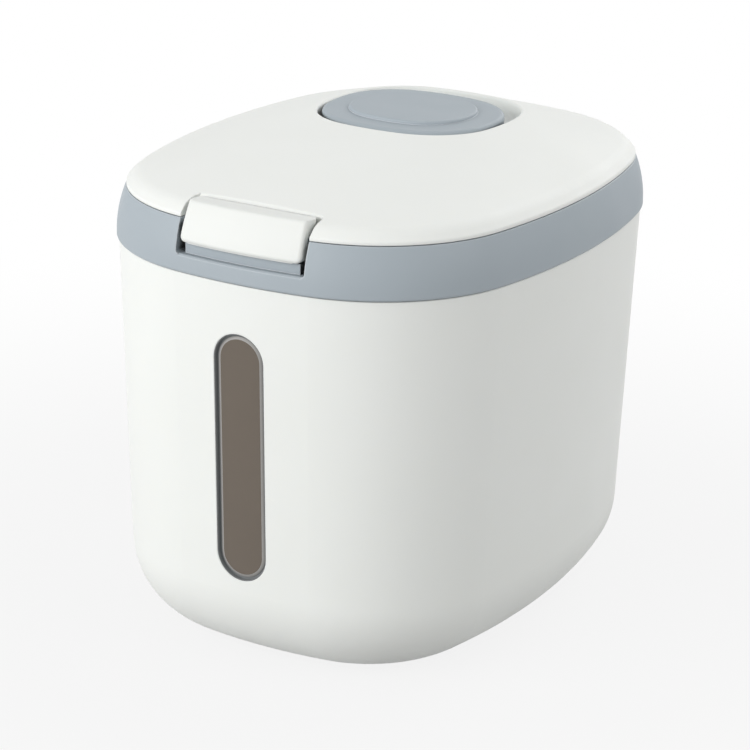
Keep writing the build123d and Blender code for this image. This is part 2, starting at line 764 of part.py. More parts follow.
# Cap: grey oval cap with a raised oval on top and a plug ring that closes the tray
def make_cap_shell():
    low = recess_floor_z + cap_skirt_gap
    outer = straight(cap_plan, 0, low, cap_edge_z)
    outer = fillet(edges_at(outer, cap_edge_z), cap_edge_round)
    step = straight(step_plan, 0, cap_edge_z - 0.5, cap_top_z)
    step = fillet(edges_at(step, cap_top_z), step_round)
    ceiling = cap_edge_z - cap_wall
    hollow = straight(cap_plan, cap_wall, low - 1, ceiling)
    plug = ring(tray_plan, cap_plug_inset, cap_plug_inset + cap_plug_thick, cap_plug_low, ceiling + 0.3)
    seat_low = recess_floor_z + tray_wall + fit_gap
    seat = ring(tray_plan, -cap_seat_width, cap_plug_inset + 0.2, seat_low, ceiling + 0.3)
    groove_low = cap_plug_low + cap_groove_rise
    groove = ring(tray_plan, cap_plug_inset - 1, cap_plug_inset + groove_depth,
                  groove_low, groove_low + cap_groove_height)
    return outer + step - hollow + (plug - groove) + seat


cap_plug_inset = tray_wall + 0.6
cap_plug_low = recess_floor_z + tray_wall - cap_plug_reach


# Cap seal: silicone ring in the groove of the cap's plug
def make_cap_seal():
    low = cap_plug_low + cap_groove_rise
    return ring(tray_plan, tray_wall + seal_gap_cap, cap_plug_inset + groove_depth,
                low, low + cap_groove_height)


def single(shape):
    """One plain solid, so that each piece is written as one body."""
    solids = shape.solids()
    largest = max(solids, key=lambda solid: solid.volume)
    return largest


makers = {
    "bucket_shell": make_bucket_shell,
    "window_pane": make_window_pane,
    "collar_ring": make_collar_ring,
    "hinge_pin": make_hinge_pin,
    "lid_shell": make_lid_shell,
    "lid_liner": make_lid_liner,
    "lid_gasket": make_lid_gasket,
    "desiccant_tray": make_desiccant_tray,
    "latch_lever": make_latch_lever,
    "latch_pin": make_latch_pin,
    "cap_shell": make_cap_shell,
    "cap_seal": make_cap_seal,
}

for name, maker in makers.items():
    piece = maker()
    print(name, len(piece.solids()), round(piece.volume))
    export_step(single(piece), f"parts/{name}.step")
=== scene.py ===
import math

import bmesh
import bpy
from mathutils import Matrix, Vector


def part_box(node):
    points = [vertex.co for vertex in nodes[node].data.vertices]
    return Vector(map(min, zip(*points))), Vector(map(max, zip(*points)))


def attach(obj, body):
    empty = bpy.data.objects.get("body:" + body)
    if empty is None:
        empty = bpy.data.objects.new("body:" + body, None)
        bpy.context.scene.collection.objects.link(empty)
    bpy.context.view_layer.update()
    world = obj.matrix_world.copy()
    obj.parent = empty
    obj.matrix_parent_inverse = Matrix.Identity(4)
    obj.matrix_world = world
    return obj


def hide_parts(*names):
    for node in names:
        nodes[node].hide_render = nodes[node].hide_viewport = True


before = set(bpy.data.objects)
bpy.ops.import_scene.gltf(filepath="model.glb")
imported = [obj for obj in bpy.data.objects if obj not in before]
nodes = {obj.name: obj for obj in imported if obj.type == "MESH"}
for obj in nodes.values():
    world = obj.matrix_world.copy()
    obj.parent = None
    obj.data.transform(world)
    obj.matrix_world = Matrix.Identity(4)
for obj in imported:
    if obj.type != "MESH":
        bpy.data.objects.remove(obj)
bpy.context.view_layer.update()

scene = bpy.context.scene


# Bucket shell: one injection-moulded piece of white polypropylene with bowed
# walls, a rounded foot and a long window opening. The mould is spark-eroded, so
# the skin is satin with a very fine grain, and a little light sinks into it.

# The edges' white is a painted highlight, and the crevices' grey is painted shade.
BUCKET_WHITES = ("F2F4F1", "EDEFEB", "FBFCFA", "ACAEAC")     # body, flow marks, edges, crevices
POLYPROPYLENE_IOR = 1.49
SATIN = (0.48, 0.58)           # roughness of the glossiest and of the dullest patches
FLOW_MARK_MM = 75
FLOW_SWIRL = 0.4
GLOSS_PATCH_MM = 22
PATCH_SPREAD = (0.3, 0.7)      # the values that nearly all of a noise pattern lies between
SPARK_GRAIN_MM = 0.8           # the real grain is about 0.2 mm; this coarse, it just shows
SPARK_GRAIN_HEIGHT_MM = 0.006
LIGHT_TRAVEL = (1.0, 0.95, 0.85)     # how far red, green and blue light sink in, as shares
EDGE_TURN = (0.99, 0.85)       # cosines of the turn at which an edge starts, and is fully one
# How much painted highlight a full edge gets.
EDGE_HIGHLIGHT_STRENGTH = 0.8
CREVICE_MM = 6                 # how far a point looks round it for walls that shut it in
JOINT_LINE_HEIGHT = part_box("collar_ring")[1].z + 0.0002     # metres, halfway between collar and lid
JOINT_LINE_REACH = (0.001, 0.003)

# Crevice gives the share of open sky where the painted shade starts, and where it is darkest.
WHITE_SKIN = {"edge_mm": 0.6, "crevice": (0.32, 0.10), "light_depth_mm": 1.2, "light_share": 0.15}


def linear(hex_colour):
    """An sRGB hex colour as the linear RGBA that Blender's sockets hold."""
    channels = [int(hex_colour[i:i + 2], 16) / 255 for i in (0, 2, 4)]
    rgb = [c / 12.92 if c <= 0.04045 else ((c + 0.055) / 1.055) ** 2.4 for c in channels]
    return (*rgb, 1.0)


def add_node(tree, kind, inputs=None, **settings):
    """Adds one node. An input, by name or number, is linked to a socket or set to a value."""
    node = tree.nodes.new(kind)
    for name, value in settings.items():
        setattr(node, name, value)
    for name, value in (inputs or {}).items():
        if isinstance(name, int):
            socket = node.inputs[name]
        else:
            socket = next(s for s in node.inputs if s.enabled and name in (s.name, s.identifier))
        if isinstance(value, bpy.types.NodeSocket):
            tree.links.new(value, socket)
        else:
            socket.default_value = value
    return node


def start_material(name, **shader):
    """A material with its Principled shader wired to the output, its fixed sockets set on it."""
    material = bpy.data.materials.new(name)
    material.use_nodes = True
    tree = material.node_tree
    tree.nodes.clear()
    surface = add_node(tree, "ShaderNodeBsdfPrincipled", shader)
    add_node(tree, "ShaderNodeOutputMaterial", {"Surface": surface.outputs["BSDF"]})
    place = add_node(tree, "ShaderNodeTexCoord").outputs["Object"]
    return material, tree, surface, place


def moulded_plastic(name, colours, edge_mm, crevice, light_depth_mm, light_share):
    """Satin plastic: slow flow-mark tint, patchy gloss, spark-eroded grain, soft edges, painted
    highlight and shade.
    """
    colour, flow_colour, painted_highlight_colour, painted_shade_colour = (linear(each) for each in colours)
    material, tree, surface, place = start_material(name, **{
        "IOR": POLYPROPYLENE_IOR,
        "Subsurface Weight": light_share,
        "Subsurface Radius": LIGHT_TRAVEL,
        "Subsurface Scale": light_depth_mm / 1000})
    flow = add_node(tree, "ShaderNodeTexNoise", {
        "Vector": place, "Scale": 1000 / FLOW_MARK_MM, "Detail": 2.0, "Distortion": FLOW_SWIRL})
    tint = add_node(tree, "ShaderNodeMix", {
        "Factor_Float": flow.outputs["Fac"], "A_Color": colour, "B_Color": flow_colour},
        data_type="RGBA")

    # Painted highlight: where the rounded normal turns from the flat one, an edge is painted paler,
    # as if lit.
    rounded = add_node(tree, "ShaderNodeBevel", {"Radius": edge_mm / 1000}, samples=6)
    flat = add_node(tree, "ShaderNodeNewGeometry")
    match = add_node(tree, "ShaderNodeVectorMath", {
        0: rounded.outputs["Normal"], 1: flat.outputs["True Normal"]}, operation="DOT_PRODUCT")
    edge = add_node(tree, "ShaderNodeMapRange", {
        "Value": match.outputs["Value"], "From Min": EDGE_TURN[0], "From Max": EDGE_TURN[1],
        "To Max": EDGE_HIGHLIGHT_STRENGTH})
    edge_highlighted = add_node(tree, "ShaderNodeMix", {
        "Factor_Float": edge.outputs["Result"], "A_Color": tint.outputs[2], "B_Color": painted_highlight_colour},
        data_type="RGBA")

    # Painted shade: narrow gaps are darkened towards the crevice colour, beyond the lamps' own shade.
    open_sky = add_node(tree, "ShaderNodeAmbientOcclusion", {"Distance": CREVICE_MM / 1000},
                        samples=8)
    depth = add_node(tree, "ShaderNodeMapRange", {
        "Value": open_sky.outputs["AO"], "From Min": crevice[0], "From Max": crevice[1]},
        interpolation_type="SMOOTHSTEP")

    # The joint line under the lid is too thin to shut the light in, so the painted shade is left off
    # it.
    height = add_node(tree, "ShaderNodeSeparateXYZ", {"Vector": place}).outputs["Z"]
    rise = add_node(tree, "ShaderNodeMath", {0: height, 1: JOINT_LINE_HEIGHT}, operation="SUBTRACT")
    off_line = add_node(tree, "ShaderNodeMath", {0: rise.outputs[0]}, operation="ABSOLUTE")
    away = add_node(tree, "ShaderNodeMapRange", {
        "Value": off_line.outputs[0], "From Min": JOINT_LINE_REACH[0],
        "From Max": JOINT_LINE_REACH[1]})
    painted_shade_share = add_node(tree, "ShaderNodeMath", {
        0: depth.outputs["Result"], 1: away.outputs["Result"]}, operation="MULTIPLY")
    shade = add_node(tree, "ShaderNodeMix", {
        "Factor_Float": painted_shade_share.outputs[0], "A_Color": edge_highlighted.outputs[2],
        "B_Color": painted_shade_colour}, data_type="RGBA")

    patches = add_node(tree, "ShaderNodeTexNoise", {
        "Vector": place, "Scale": 1000 / GLOSS_PATCH_MM, "Detail": 3.0})
    gloss = add_node(tree, "ShaderNodeMapRange", {
        "Value": patches.outputs["Fac"], "From Min": PATCH_SPREAD[0], "From Max": PATCH_SPREAD[1],
        "To Min": SATIN[0], "To Max": SATIN[1]})
    grain = add_node(tree, "ShaderNodeTexNoise", {
        "Vector": place, "Scale": 1000 / SPARK_GRAIN_MM, "Detail": 1.0})
    bump = add_node(tree, "ShaderNodeBump", {
        "Height": grain.outputs["Fac"], "Distance": SPARK_GRAIN_HEIGHT_MM / 1000, "Strength": 1.0,
        "Normal": rounded.outputs["Normal"]})
    tree.links.new(shade.outputs[2], surface.inputs["Base Color"])
    tree.links.new(gloss.outputs["Result"], surface.inputs["Roughness"])
    tree.links.new(bump.outputs["Normal"], surface.inputs["Normal"])
    return material


def dress(node_name, material):
    """Gives a carried-over CAD node its finish."""
    mesh = nodes[node_name].data
    mesh.materials.clear()
    mesh.materials.append(material)


white_plastic = moulded_plastic("moulded_white_polypropylene", BUCKET_WHITES, **WHITE_SKIN)
dress("bucket_shell", white_plastic)


# Window pane: a smoked, see-through moulding, clipped into the opening from inside.
# Its face is polished, the bevel round it is left matt from the mould, and a deep
# groove and a thin rim part it from the white wall. It follows the wall's bow.

STYRENE_IOR = 1.57
SMOKE_BROWNS = ("857869", "7D7062")     # two tones of the smoke, in slow clouds
SMOKE_CLEARNESS = 0.45                  # the share of light that goes through
CLOUD_MM = 40
POLISHED_ROUGHNESS = (0.10, 0.18)
BEVEL_GREYS_PAINTED_PALER = ("A2A09D", "989693")
BEVEL_ROUGHNESS = (0.45, 0.60)
RIM_GREYS_PAINTED_DARKER = ("7A7D7E", "747778")
RIM_ROUGHNESS = (0.35, 0.50)
MATT_GRAIN_MM = 1.0

# The opening is a slot with round ends. Their centres are at low and high, up the wall.
WINDOW_LOW_MM, WINDOW_HIGH_MM = 54.6, 140.8
WALL_MM = 2.2
WALL_FRONT_MM = {"half_depth": 121.5, "bow": 218.0, "overhang": 1.0, "lean": 0.035,
                 "shoulder": 174.0}
FACE, BEVEL, RIM = range(3)     # the pane's three finishes
FACE_REACH_MM, FACE_DEPTH_MM = 9.4, 1.20
FLANGE_MM, FLANGE_THICK_MM = 15.0, 1.4
FLANGE_CLEAR_MM = 0.02          # a hair between the flange and the wall's inside
BEHIND_MM = WALL_MM + FLANGE_CLEAR_MM
PANE_BACK_MM = WALL_MM + FLANGE_THICK_MM
# Each ring of the pane: reach from the opening's middle line, depth behind the wall, finish.
PANE_RINGS = ((FACE_REACH_MM, FACE_DEPTH_MM, BEVEL), (10.6, 1.70, RIM), (10.8, 1.95, RIM),
              (11.5, 1.95, RIM), (11.6, 0.25, RIM), (11.7, 0.15, RIM), (11.85, 0.15, RIM),
              (11.95, 0.25, RIM), (11.95, BEHIND_MM, FACE), (FLANGE_MM, BEHIND_MM, FACE),
              (FLANGE_MM, PANE_BACK_MM, FACE))
INNER_SHARES = (0.0, 0.25, 0.5, 0.75, 0.95)     # rings inside the face's edge, as shares of it
END_STEPS = 28
SIDE_STEPS = 16
SAME_POINT = 0.000001           # metres
SHARP_DEGREES = 35

smoked_plastic, tree, surface, place = start_material("polished_smoked_styrene", **{
    "IOR": STYRENE_IOR, "Transmission Weight": SMOKE_CLEARNESS})
cloud = add_node(tree, "ShaderNodeTexNoise", {
    "Vector": place, "Scale": 1000 / CLOUD_MM, "Detail": 2.0})
smoke = add_node(tree, "ShaderNodeMix", {
    "Factor_Float": cloud.outputs["Fac"], "A_Color": linear(SMOKE_BROWNS[0]),
    "B_Color": linear(SMOKE_BROWNS[1])}, data_type="RGBA")
tree.links.new(smoke.outputs[2], surface.inputs["Base Color"])
haze = add_node(tree, "ShaderNodeMapRange", {
    "Value": cloud.outputs["Fac"], "To Min": POLISHED_ROUGHNESS[0],
    "To Max": POLISHED_ROUGHNESS[1]})
tree.links.new(haze.outputs["Result"], surface.inputs["Roughness"])


def matt_from_the_mould(name, colours, roughness):
    """The smoked plastic where the mould is left rough: dusty, scattering, finely grained."""
    material, tree, surface, place = start_material(name, IOR=STYRENE_IOR)
    grain = add_node(tree, "ShaderNodeTexNoise", {
        "Vector": place, "Scale": 1000 / MATT_GRAIN_MM, "Detail": 2.0})
    tint = add_node(tree, "ShaderNodeMix", {
        "Factor_Float": grain.outputs["Fac"], "A_Color": linear(colours[0]),
        "B_Color": linear(colours[1])}, data_type="RGBA")
    tree.links.new(tint.outputs[2], surface.inputs["Base Color"])
    dull = add_node(tree, "ShaderNodeMapRange", {
        "Value": grain.outputs["Fac"], "To Min": roughness[0], "To Max": roughness[1]})
    tree.links.new(dull.outputs["Result"], surface.inputs["Roughness"])
    return material


# The bevel's matt grey is paler than the rim's, the real scatter of a matt face and a painted
# highlight, so it shows as a pale line round the face. The rim, deep in its groove, is the same
# matt plastic painted darker: painted shade on top of its groove's real shade, a dark line.
matt_bevel_with_painted_highlight = matt_from_the_mould("spark_eroded_bevel_of_styrene_painted_paler", BEVEL_GREYS_PAINTED_PALER, BEVEL_ROUGHNESS)
rim_with_painted_shade = matt_from_the_mould("smoked_rim_of_styrene_painted_darker", RIM_GREYS_PAINTED_DARKER, RIM_ROUGHNESS)


def on_the_wall(x, z, depth):
    """A point of the pane in metres, at a depth behind the bowed and leaning front wall."""
    inset = WALL_FRONT_MM["overhang"] + WALL_FRONT_MM["lean"] * (WALL_FRONT_MM["shoulder"] - z)
    radius = WALL_FRONT_MM["bow"] - inset - depth
    centre_y = WALL_FRONT_MM["bow"] - WALL_FRONT_MM["half_depth"]
    return Vector((x, centre_y - math.sqrt(radius**2 - x**2), z)) / 1000


def pane_ring(shape, reach, depth):
    """One ring of vertices round the opening's outline: an end, a side, and their mirror."""
    turns = [math.pi * step / END_STEPS for step in range(END_STEPS + 1)]
    places = [(reach * math.cos(turn), WINDOW_HIGH_MM + reach * math.sin(turn)) for turn in turns]
    fall = WINDOW_LOW_MM - WINDOW_HIGH_MM
    places += [(-reach, WINDOW_HIGH_MM + fall * step / SIDE_STEPS) for step in range(1, SIDE_STEPS)]
    places += [(-x, WINDOW_LOW_MM + WINDOW_HIGH_MM - z) for x, z in places]
    return [shape.verts.new(on_the_wall(x, z, depth)) for x, z in places]


def bridge(shape, inner, outer, finish):
    """A strip of quads between two rings."""
    for step in range(len(inner)):
        after = (step + 1) % len(inner)
        face = shape.faces.new((inner[step], outer[step], outer[after], inner[after]))
        face.material_index, face.smooth = finish, True


shape = bmesh.new()
rings = [(pane_ring(shape, FACE_REACH_MM * share, FACE_DEPTH_MM), FACE) for share in INNER_SHARES]
rings += [(pane_ring(shape, reach, depth), finish) for reach, depth, finish in PANE_RINGS]
rings += [(pane_ring(shape, FLANGE_MM * share, PANE_BACK_MM), FACE)
          for share in reversed(INNER_SHARES)]
for (inner, finish), (outer, _) in zip(rings, rings[1:]):
    bridge(shape, inner, outer, finish)
bmesh.ops.remove_doubles(shape, verts=shape.verts, dist=SAME_POINT)
bmesh.ops.dissolve_degenerate(shape, dist=SAME_POINT, edges=shape.edges)
bmesh.ops.recalc_face_normals(shape, faces=shape.faces)
for edge in shape.edges:
    edge.smooth = edge.calc_face_angle(0) < math.radians(SHARP_DEGREES)
pane_mesh = bpy.data.meshes.new("window_pane_bevelled")
shape.to_mesh(pane_mesh)
shape.free()
for finish in (smoked_plastic, matt_bevel_with_painted_highlight, rim_with_painted_shade):
    pane_mesh.materials.append(finish)
pane = bpy.data.objects.new("window_pane_bevelled", pane_mesh)
scene.collection.objects.link(pane)
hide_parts("window_pane")
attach(pane, "bucket")


# Collar: a blue-grey polypropylene ring pressed over the bucket's rim. It holds the
# latch notch, the keeper bar behind the lever and the two hinge ears. Its pigment lets
# hardly any light in. Its gaps get painted shade, near black, and its edges a painted highlight.

COLLAR_GREYS = ("A8B1B8", "A4AEB4", "DDE2E6", "1E2123")     # as the bucket's whites
GREY_SKIN = {"edge_mm": 0.8, "crevice": (0.50, 0.20), "light_depth_mm": 0.5, "light_share": 0.05}

grey_plastic = moulded_plastic("moulded_blue_grey_polypropylene", COLLAR_GREYS, **GREY_SKIN)
dress("collar_ring", grey_plastic)


# Hinge pin: a steel wire, cut to length, that the lid's knuckle turns on. It was
# drawn through a die, and the fine lines along it break up its shine.

STEEL_GREY = "B9BABC"
STEEL_ROUGHNESS = (0.22, 0.42)
DRAW_LINE_MM = 0.15
DRAW_STRETCH = (0.02, 1.0, 1.0)     # the pattern runs along the wire, which lies across the bucket

drawn_steel, tree, surface, place = start_material("drawn_steel_wire", **{
    "Metallic": 1.0, "Base Color": linear(STEEL_GREY)})
along = add_node(tree, "ShaderNodeMapping", {"Vector": place, "Scale": DRAW_STRETCH})
lines = add_node(tree, "ShaderNodeTexNoise", {
    "Vector": along.outputs["Vector"], "Scale": 1000 / DRAW_LINE_MM, "Detail": 2.0})
streaks = add_node(tree, "ShaderNodeMapRange", {
    "Value": lines.outputs["Fac"], "To Min": STEEL_ROUGHNESS[0], "To Max": STEEL_ROUGHNESS[1]})
tree.links.new(streaks.outputs["Result"], surface.inputs["Roughness"])
dress("hinge_pin", drawn_steel)


# Lid shell and liner: the same white polypropylene as the bucket, from the same
# mould maker. The liner is the plug under the lid that reaches into the mouth.

dress("lid_shell", white_plastic)
dress("lid_liner", white_plastic)


# Lid gasket: a ring of milky silicone in the groove of the liner's plug. Three thin
# fins bend against the mouth of the bucket and keep the air out. Light goes well into
# it, and a chalky bloom on the skin keeps it from shining.

SILICONE_MILKS = ("D5D9DA", "CDD2D4")     # skin, bloom
SILICONE_IOR = 1.41
SILICONE_ROUGHNESS = (0.5, 0.65)
SILICONE_LIGHT_SHARE = 0.35
SILICONE_LIGHT_DEPTH_MM = 2.0
BLOOM_MM = 6

silicone, tree, surface, place = start_material("moulded_milky_silicone", **{
    "IOR": SILICONE_IOR, "Subsurface Weight": SILICONE_LIGHT_SHARE,
    "Subsurface Radius": (1.0, 1.0, 1.0), "Subsurface Scale": SILICONE_LIGHT_DEPTH_MM / 1000})
bloom = add_node(tree, "ShaderNodeTexNoise", {
    "Vector": place, "Scale": 1000 / BLOOM_MM, "Detail": 3.0})
milk = add_node(tree, "ShaderNodeMix", {
    "Factor_Float": bloom.outputs["Fac"], "A_Color": linear(SILICONE_MILKS[0]),
    "B_Color": linear(SILICONE_MILKS[1])}, data_type="RGBA")
tree.links.new(milk.outputs[2], surface.inputs["Base Color"])
chalk = add_node(tree, "ShaderNodeMapRange", {
    "Value": bloom.outputs["Fac"], "To Min": SILICONE_ROUGHNESS[0],
    "To Max": SILICONE_ROUGHNESS[1]})
tree.links.new(chalk.outputs["Result"], surface.inputs["Roughness"])

# The bucket's form in plan is eight tangent arcs: a front and a back bow, two side bows,
# and a corner between each two. Its sizes are in millimetres, a seal's own in metres.
MOUTH_OUTLINE = {"half_width": 98.5, "half_depth": 121.5, "front_bow": 218.0, "side_bow": 300.8,
                 "corner": 71.9, "middle_y": 0.0}
GASKET_INSET_MM = 13.9
GASKET_FORM = {"Back Width": 0.0010, "Back Height": 0.0032, "Fin Reach": 0.0004,
               "Fin Thickness": 0.00035, "Fin Pitch": 0.0010, "Fins": 3}
ARC_STEPS = 24
BACK_ROUND_SHARE = 0.3
FIN_ROUND_SHARE = 0.4


def outline_path(name, outline, inset, node_name):
    """A closed curve along the eight arcs, inset, halfway up a CAD node, anticlockwise."""
    bow_y = outline["half_depth"] - outline["front_bow"]
    side_x = outline["half_width"] - outline["side_bow"]
    # A corner's centre is where its circle touches both bows from inside.
    to_bow = outline["front_bow"] - outline["corner"]
    to_side = outline["side_bow"] - outline["corner"]
    gap = math.hypot(side_x, bow_y)
    along = (to_side**2 - to_bow**2 + gap**2) / (2 * gap)
    off = math.sqrt(to_side**2 - along**2)
    to_x, to_y = -side_x / gap, bow_y / gap
    corner_x = side_x + to_x * along - to_y * off
    corner_y = to_y * along + to_x * off
    side_turn = math.atan2(corner_y, corner_x - side_x)
    bow_turn = math.atan2(corner_y - bow_y, corner_x)
    arcs = ((0.0, side_turn, (side_x, 0.0), outline["side_bow"]),
            (side_turn, bow_turn, (corner_x, corner_y), outline["corner"]),
            (bow_turn, math.pi / 2, (0.0, bow_y), outline["front_bow"]))
    quarter = []
    for start, end, centre, radius in arcs:
        for step in range(ARC_STEPS):
            turn = start + (end - start) * step / ARC_STEPS
            quarter.append((centre[0] + (radius - inset) * math.cos(turn),
                            centre[1] + (radius - inset) * math.sin(turn)))
    back_point = [(0.0, outline["half_depth"] - inset)]
    half = quarter + back_point + [(-x, y) for x, y in reversed(quarter)]
    ring = half + [(-x, -y) for x, y in half[1:-1]]

    low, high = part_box(node_name)
    curve = bpy.data.curves.new(name, "CURVE")
    curve.dimensions = "3D"
    spline = curve.splines.new("POLY")
    spline.points.add(len(ring) - 1)
    for point, (x, y) in zip(spline.points, ring):
        point.co = (x / 1000, (y + outline["middle_y"]) / 1000, (low.z + high.z) / 2, 1.0)
    spline.use_cyclic_u = True
    path = bpy.data.objects.new(name, curve)
    scene.collection.objects.link(path)
    return path


# A seal's section is a rounded back and a few thin fins that point outwards.
seal_tree = bpy.data.node_groups.new("finned_seal", "GeometryNodeTree")
seal_inputs = {"Path": "NodeSocketObject", "Back Width": "NodeSocketFloat",
               "Back Height": "NodeSocketFloat", "Fin Reach": "NodeSocketFloat",
               "Fin Thickness": "NodeSocketFloat", "Fin Pitch": "NodeSocketFloat",
               "Fins": "NodeSocketInt", "Finish": "NodeSocketMaterial"}
for name, kind in seal_inputs.items():
    seal_tree.interface.new_socket(name, in_out="INPUT", socket_type=kind)
seal_tree.interface.new_socket("Seal", in_out="OUTPUT", socket_type="NodeSocketGeometry")
given = add_node(seal_tree, "NodeGroupInput").outputs

path = add_node(seal_tree, "GeometryNodeObjectInfo", {"Object": given["Path"]})
level = add_node(seal_tree, "GeometryNodeSetCurveNormal", {"Curve": path.outputs["Geometry"]},
                 mode="Z_UP")

back = add_node(seal_tree, "GeometryNodeCurvePrimitiveQuadrilateral", {
    "Width": given["Back Width"], "Height": given["Back Height"]})
back_radius = add_node(seal_tree, "ShaderNodeMath", {
    0: given["Back Width"], 1: BACK_ROUND_SHARE}, operation="MULTIPLY")
back_round = add_node(seal_tree, "GeometryNodeFilletCurve", {
    "Curve": back.outputs["Curve"], "Radius": back_radius.outputs[0], "Count": 4}, mode="POLY")

# Half of each fin is sunk in the back.
fin_width = add_node(seal_tree, "ShaderNodeMath", {
    0: given["Fin Reach"], 1: 2.0}, operation="MULTIPLY")
fin = add_node(seal_tree, "GeometryNodeCurvePrimitiveQuadrilateral", {
    "Width": fin_width.outputs[0], "Height": given["Fin Thickness"]})
fin_radius = add_node(seal_tree, "ShaderNodeMath", {
    0: given["Fin Thickness"], 1: FIN_ROUND_SHARE}, operation="MULTIPLY")
fin_round = add_node(seal_tree, "GeometryNodeFilletCurve", {
    "Curve": fin.outputs["Curve"], "Radius": fin_radius.outputs[0], "Count": 3}, mode="POLY")

fin_gaps = add_node(seal_tree, "ShaderNodeMath", {0: given["Fins"], 1: 1.0}, operation="SUBTRACT")
half_down = add_node(seal_tree, "ShaderNodeMath", {
    0: given["Fin Pitch"], 1: -0.5}, operation="MULTIPLY")
lowest = add_node(seal_tree, "ShaderNodeMath", {
    0: fin_gaps.outputs[0], 1: half_down.outputs[0]}, operation="MULTIPLY")
back_face = add_node(seal_tree, "ShaderNodeMath", {
    0: given["Back Width"], 1: 0.5}, operation="MULTIPLY")
first_fin = add_node(seal_tree, "ShaderNodeCombineXYZ", {
    "X": back_face.outputs[0], "Y": lowest.outputs[0]})
pitch = add_node(seal_tree, "ShaderNodeCombineXYZ", {"Y": given["Fin Pitch"]})
places = add_node(seal_tree, "GeometryNodeMeshLine", {
    "Count": given["Fins"], "Start Location": first_fin.outputs["Vector"],
    "Offset": pitch.outputs["Vector"]})
fins = add_node(seal_tree, "GeometryNodeInstanceOnPoints", {
    "Points": places.outputs["Mesh"], "Instance": fin_round.outputs["Curve"]})

section = add_node(seal_tree, "GeometryNodeJoinGeometry")
seal_tree.links.new(fins.outputs["Instances"], section.inputs["Geometry"])
seal_tree.links.new(back_round.outputs["Curve"], section.inputs["Geometry"])
real_section = add_node(seal_tree, "GeometryNodeRealizeInstances", {
    "Geometry": section.outputs["Geometry"]})
swept = add_node(seal_tree, "GeometryNodeCurveToMesh", {
    "Curve": level.outputs["Curve"], "Profile Curve": real_section.outputs["Geometry"]})
soft_edges = add_node(seal_tree, "GeometryNodeSetShadeSmooth", {"Geometry": swept.outputs["Mesh"]})
finished = add_node(seal_tree, "GeometryNodeSetMaterial", {
    "Geometry": soft_edges.outputs["Geometry"], "Material": given["Finish"]})
add_node(seal_tree, "NodeGroupOutput", {"Seal": finished.outputs["Geometry"]})


def grow_seal(name, path, form):
    """Runs the seal's tree along a path once, and keeps the result as a plain mesh."""
    seal = bpy.data.objects.new(name, bpy.data.meshes.new(name))
    scene.collection.objects.link(seal)
    modifier = seal.modifiers.new("finned_seal", "NODES")
    modifier.node_group = seal_tree
    values = dict(form, Path=path, Finish=silicone)
    for socket in seal_tree.interface.items_tree:
        if socket.in_out == "INPUT":
            modifier[socket.identifier] = values[socket.name]
    evaluated = seal.evaluated_get(bpy.context.evaluated_depsgraph_get())
    swept_mesh = bpy.data.meshes.new_from_object(evaluated)
    seal.modifiers.remove(modifier)
    seal.data = swept_mesh
    bpy.data.objects.remove(path)
    return seal


gasket_path = outline_path("gasket_path", MOUTH_OUTLINE, GASKET_INSET_MM, "lid_gasket")
gasket = grow_seal("lid_gasket_finned", gasket_path, GASKET_FORM)
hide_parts("lid_gasket")
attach(gasket, "lid")


# Desiccant tray: the white cup that hangs under the cap through the lid, moulded
# in the bucket's plastic.

dress("desiccant_tray", white_plastic)


# Latch lever: a white lever that snaps over the keeper and turns on a drawn pin. Its
# white is the bucket's plastic painted darker, painted shade that holds back its brightly lit front.

LEVER_WHITES_SHADED_DOWN = ("EAECE9", "E6E8E4", "F4F5F3", "A4A6A4")     # as the bucket's whites

lever_plastic_painted_darker = moulded_plastic("moulded_white_polypropylene_painted_darker_for_the_lever", LEVER_WHITES_SHADED_DOWN,
                                **WHITE_SKIN)
dress("latch_lever", lever_plastic_painted_darker)
dress("latch_pin", drawn_steel)


# Cap: the blue-grey lid of the compartment, moulded from the collar's plastic. It
# is pressed into the lid and lifts straight off.

dress("cap_shell", grey_plastic)


# Cap seal: a smaller ring of the gasket's silicone round the cap's plug, with two
# fins that bend against the tray's wall.

TRAY_OUTLINE = {"half_width": 26.6, "half_depth": 22.6, "front_bow": 46.0, "side_bow": 50.0,
                "corner": 18.0, "middle_y": 22.2}
CAP_SEAL_INSET_MM = 2.45
CAP_SEAL_FORM = {"Back Width": 0.0011, "Back Height": 0.0022, "Fin Reach": 0.0002,
                 "Fin Thickness": 0.0003, "Fin Pitch": 0.0009, "Fins": 2}

cap_seal_path = outline_path("cap_seal_path", TRAY_OUTLINE, CAP_SEAL_INSET_MM, "cap_seal")
cap_seal = grow_seal("cap_seal_finned", cap_seal_path, CAP_SEAL_FORM)
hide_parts("cap_seal")
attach(cap_seal, "cap")


# Studio: a floor of matt paper that fades into a white surround, soft light from the
# front left, and weaker light from above on the right and from behind.

WHITE = "FFFFFF"
PAPER_GREY = "B4B4B4"             # darker than it looks, so little light comes back up
PAPER_RADIUS = 3.0
PAPER_FADE = (0.12, 0.55)         # metres from the bucket's middle where it starts and ends
PAPER_GLOW = (0.86, 1.0)          # how white it looks there, 1 being the surround's white
SURROUND_FILL = 0.52
BUCKET_MIDDLE = (0, 0, 0.11)


def see_straight(tree):
    """1 where the camera, a mirror or a see-through piece looks, 0 where light bounces."""
    rays = add_node(tree, "ShaderNodeLightPath").outputs
    seen = add_node(tree, "ShaderNodeMath", {
        0: rays["Is Camera Ray"], 1: rays["Is Glossy Ray"]}, operation="MAXIMUM")
    straight = add_node(tree, "ShaderNodeMath", {
        0: seen.outputs[0], 1: rays["Is Transmission Ray"]}, operation="MAXIMUM")
    return straight.outputs[0]


floor_mesh = bpy.data.meshes.new("studio_floor")
shape = bmesh.new()
bmesh.ops.create_circle(shape, cap_ends=True, radius=PAPER_RADIUS, segments=96)
shape.to_mesh(floor_mesh)
shape.free()
floor = bpy.data.objects.new("studio_floor", floor_mesh)
scene.collection.objects.link(floor)

